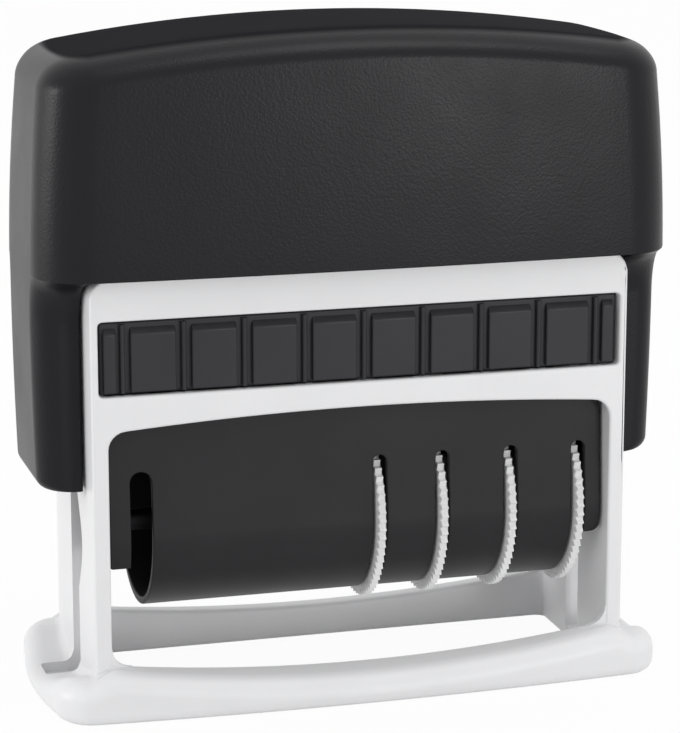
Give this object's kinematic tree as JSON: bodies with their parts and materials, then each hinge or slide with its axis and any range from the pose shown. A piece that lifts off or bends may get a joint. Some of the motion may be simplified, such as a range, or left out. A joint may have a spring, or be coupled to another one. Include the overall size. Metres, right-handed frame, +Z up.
{
  "type": "self-inking date stamp",
  "caption": "Self-inking hand date stamp: a sprung cap slides on a framed base and turns over a drum of date bands with thumb wheels, from the ink pad to the paper.",
  "frame": {"origin": "middle of the base's underside, on the paper", "axes": "+X along the stamp to the viewer's right, +Y to its back, +Z up along the cap's stroke"},
  "size_m": [0.0706, 0.0298, 0.0734],
  "materials": {
    "frame_white": "satin moulded plastic",
    "cap_black": "fine spark-eroded texture",
    "tray_black": "satin moulded plastic",
    "drum_black": "satin moulded plastic",
    "wheel_white": "moulded plastic",
    "band_rubber": "matt",
    "plate_rubber": "matt",
    "ink_felt": "inked felt",
    "spring_steel": "drawn wire",
    "axle_steel": "blackened"
  },
  "bodies": {
    "frame": {"base_frame": "frame_white", "return_spring_left": "spring_steel", "return_spring_right": "spring_steel"},
    "cap": {"cap_shell": "cap_black"},
    "pad": {"pad_tray": "tray_black", "ink_pad": "ink_felt"},
    "drum": {"drum_cover": "drum_black", "left_cheek": "drum_black", "right_cheek": "drum_black", "wheel_axle": "axle_steel", "day_tens_band": "band_rubber", "day_units_band": "band_rubber", "month_band": "band_rubber", "year_band": "band_rubber", "band_bridge": "wheel_white", "band_guides": "wheel_white", "text_plate_holder": "drum_black", "text_plate": "plate_rubber"},
    "day_tens_wheel": {"day_tens_wheel": "wheel_white"},
    "day_units_wheel": {"day_units_wheel": "wheel_white"},
    "month_wheel": {"month_wheel": "wheel_white"},
    "year_wheel": {"year_wheel": "wheel_white"}
  },
  "joints": [
    {"name": "cap_press", "type": "slide", "parent": "frame", "child": "cap", "axis": [0, 0, 1], "range_m": [-0.019, 0], "stiffness_N_per_m": 600, "springref_m": 0.008, "deforming": ["return_spring_left", "return_spring_right"]},
    {"name": "drum_flip", "type": "hinge", "parent": "cap", "child": "drum", "pos_m": [0, 0, 0.0271], "axis": [1, 0, 0], "range_deg": [-180, 0]},
    {"name": "day_tens_turn", "type": "hinge", "parent": "drum", "child": "day_tens_wheel", "pos_m": [0, 0, 0.01885], "axis": [1, 0, 0], "continuous": true},
    {"name": "day_units_turn", "type": "hinge", "parent": "drum", "child": "day_units_wheel", "pos_m": [0, 0, 0.01885], "axis": [1, 0, 0], "continuous": true},
    {"name": "month_turn", "type": "hinge", "parent": "drum", "child": "month_wheel", "pos_m": [0, 0, 0.01885], "axis": [1, 0, 0], "continuous": true},
    {"name": "year_turn", "type": "hinge", "parent": "drum", "child": "year_wheel", "pos_m": [0, 0, 0.01885], "axis": [1, 0, 0], "continuous": true},
    {"name": "pad_slide", "type": "slide", "parent": "frame", "child": "pad", "axis": [0, -1, 0], "range_m": [0, 0.024]}
  ],
  "couplings": [
    {"joint": "drum_flip", "follows": "cap_press", "rad_per_m": 165.34}
  ]
}
